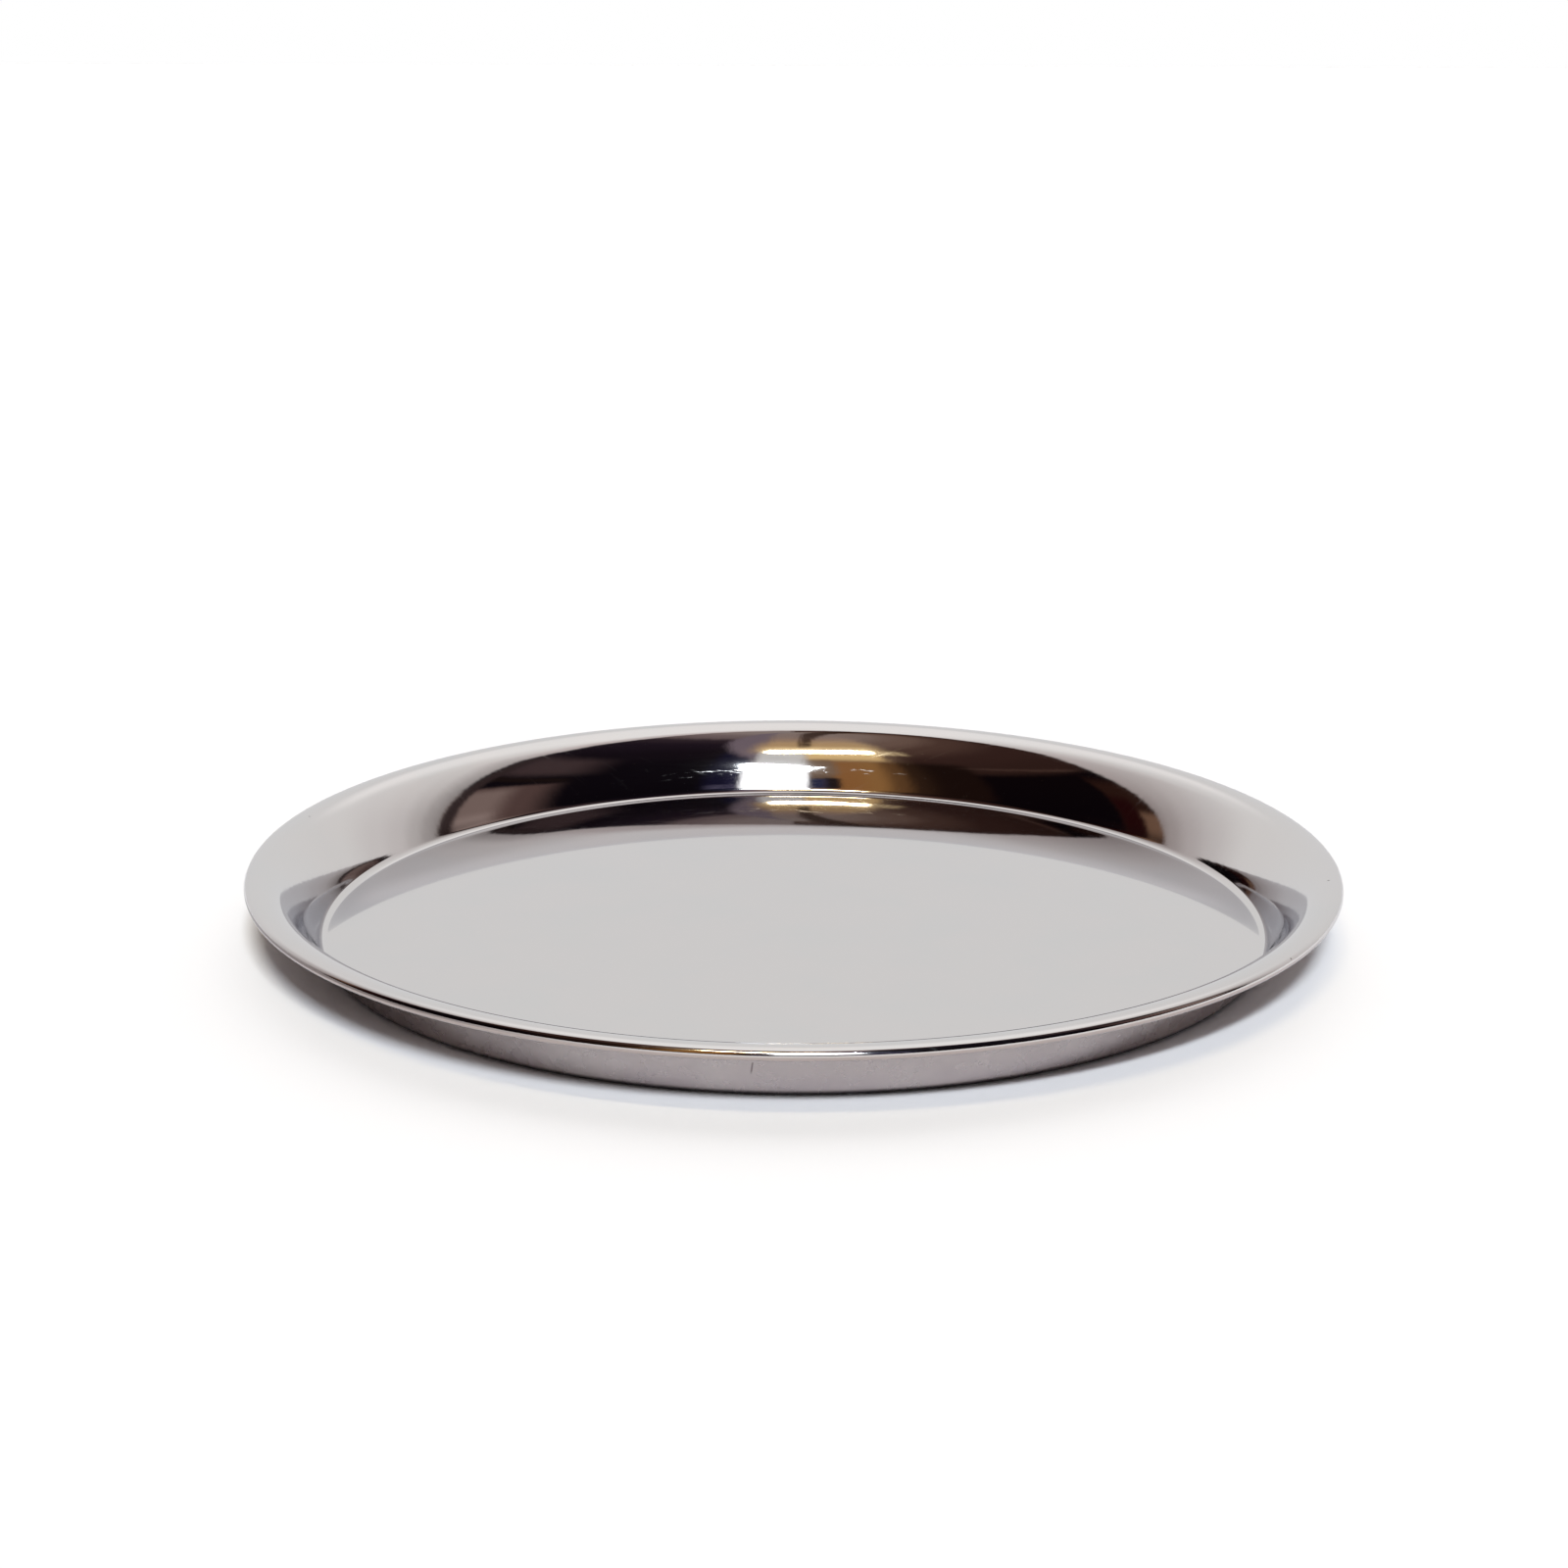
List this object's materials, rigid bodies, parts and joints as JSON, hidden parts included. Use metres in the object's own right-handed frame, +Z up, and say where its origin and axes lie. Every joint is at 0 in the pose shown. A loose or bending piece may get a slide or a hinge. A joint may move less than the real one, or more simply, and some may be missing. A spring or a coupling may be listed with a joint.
{
  "type": "round serving tray",
  "caption": "Round flat-bottomed serving tray of polished pressed steel, with a low bell-mouthed wall and a rolled rim over a wire.",
  "frame": {"origin": "on the table, under the middle of the tray", "axes": "+Z up, along the axis of the round tray; -Y is the side nearest the camera in the picture"},
  "size_m": [0.36, 0.36, 0.023],
  "materials": {
    "polished_steel": "stainless steel sheet, mirror-polished above and satin below",
    "wire_steel": "drawn steel wire, dull, hidden inside the rolled rim"
  },
  "bodies": {
    "root": {"tray_pan": "polished_steel", "rim_wire": "wire_steel"}
  },
  "joints": []
}
